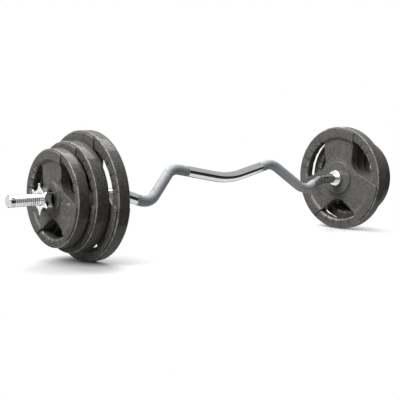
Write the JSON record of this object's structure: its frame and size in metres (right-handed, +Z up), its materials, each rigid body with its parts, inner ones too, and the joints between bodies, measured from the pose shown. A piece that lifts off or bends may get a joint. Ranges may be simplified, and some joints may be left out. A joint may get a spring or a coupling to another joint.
{
  "type": "loaded ez curl bar",
  "caption": "Bent curl bar with threaded ends, carrying cast-iron plates with hand grips, stopped by fixed collars and locked by star-shaped spin nuts over rubber rings.",
  "frame": {"origin": "on the floor under the middle of the bar, midway between the plates", "axes": "+X along the bar towards its right end, +Y away from the viewer, +Z up"},
  "size_m": [1.2, 0.278, 0.278],
  "materials": {
    "chrome_bar": "bright chrome, knurled in the hand grips",
    "chrome_collar": "bright chrome",
    "cast_plate": "dark grey hammertone enamel",
    "ring_rubber": "matt black rubber",
    "chrome_nut": "bright chrome"
  },
  "bodies": {
    "bar": {"bar": "chrome_bar", "left_collar": "chrome_collar", "right_collar": "chrome_collar"},
    "left_large_plate": {"left_large_plate": "cast_plate"},
    "left_medium_plate": {"left_medium_plate": "cast_plate"},
    "left_small_plate": {"left_small_plate": "cast_plate"},
    "left_rubber_ring": {"left_rubber_ring": "ring_rubber"},
    "left_star_nut": {"left_star_nut": "chrome_nut"},
    "right_large_plate": {"right_large_plate": "cast_plate"},
    "right_medium_plate": {"right_medium_plate": "cast_plate"},
    "right_small_plate": {"right_small_plate": "cast_plate"},
    "right_rubber_ring": {"right_rubber_ring": "ring_rubber"},
    "right_star_nut": {"right_star_nut": "chrome_nut"}
  },
  "joints": [
    {"name": "left_large_plate_slide", "type": "slide", "parent": "bar", "child": "left_large_plate", "axis": [-1, 0, 0], "range_m": [0, 0.21]},
    {"name": "left_medium_plate_slide", "type": "slide", "parent": "left_large_plate", "child": "left_medium_plate", "axis": [-1, 0, 0], "range_m": [0, 0.175]},
    {"name": "left_small_plate_slide", "type": "slide", "parent": "left_medium_plate", "child": "left_small_plate", "axis": [-1, 0, 0], "range_m": [0, 0.14]},
    {"name": "left_nut_travel", "type": "slide", "parent": "left_small_plate", "child": "left_rubber_ring", "axis": [-1, 0, 0], "range_m": [0, 0.0992]},
    {"name": "left_nut_spin", "type": "hinge", "parent": "left_rubber_ring", "child": "left_star_nut", "pos_m": [-0.521, 0, 0.139], "axis": [-1, 0, 0], "range_deg": [0, 7920]},
    {"name": "right_large_plate_slide", "type": "slide", "parent": "bar", "child": "right_large_plate", "axis": [1, 0, 0], "range_m": [0, 0.21]},
    {"name": "right_medium_plate_slide", "type": "slide", "parent": "right_large_plate", "child": "right_medium_plate", "axis": [1, 0, 0], "range_m": [0, 0.175]},
    {"name": "right_small_plate_slide", "type": "slide", "parent": "right_medium_plate", "child": "right_small_plate", "axis": [1, 0, 0], "range_m": [0, 0.14]},
    {"name": "right_nut_travel", "type": "slide", "parent": "right_small_plate", "child": "right_rubber_ring", "axis": [1, 0, 0], "range_m": [0, 0.0992]},
    {"name": "right_nut_spin", "type": "hinge", "parent": "right_rubber_ring", "child": "right_star_nut", "pos_m": [0.521, 0, 0.139], "axis": [1, 0, 0], "range_deg": [0, 7920]}
  ],
  "couplings": [
    {"joint": "left_nut_travel", "follows": "left_nut_spin", "m_per_rad": 0.0007162},
    {"joint": "right_nut_travel", "follows": "right_nut_spin", "m_per_rad": 0.0007162}
  ]
}
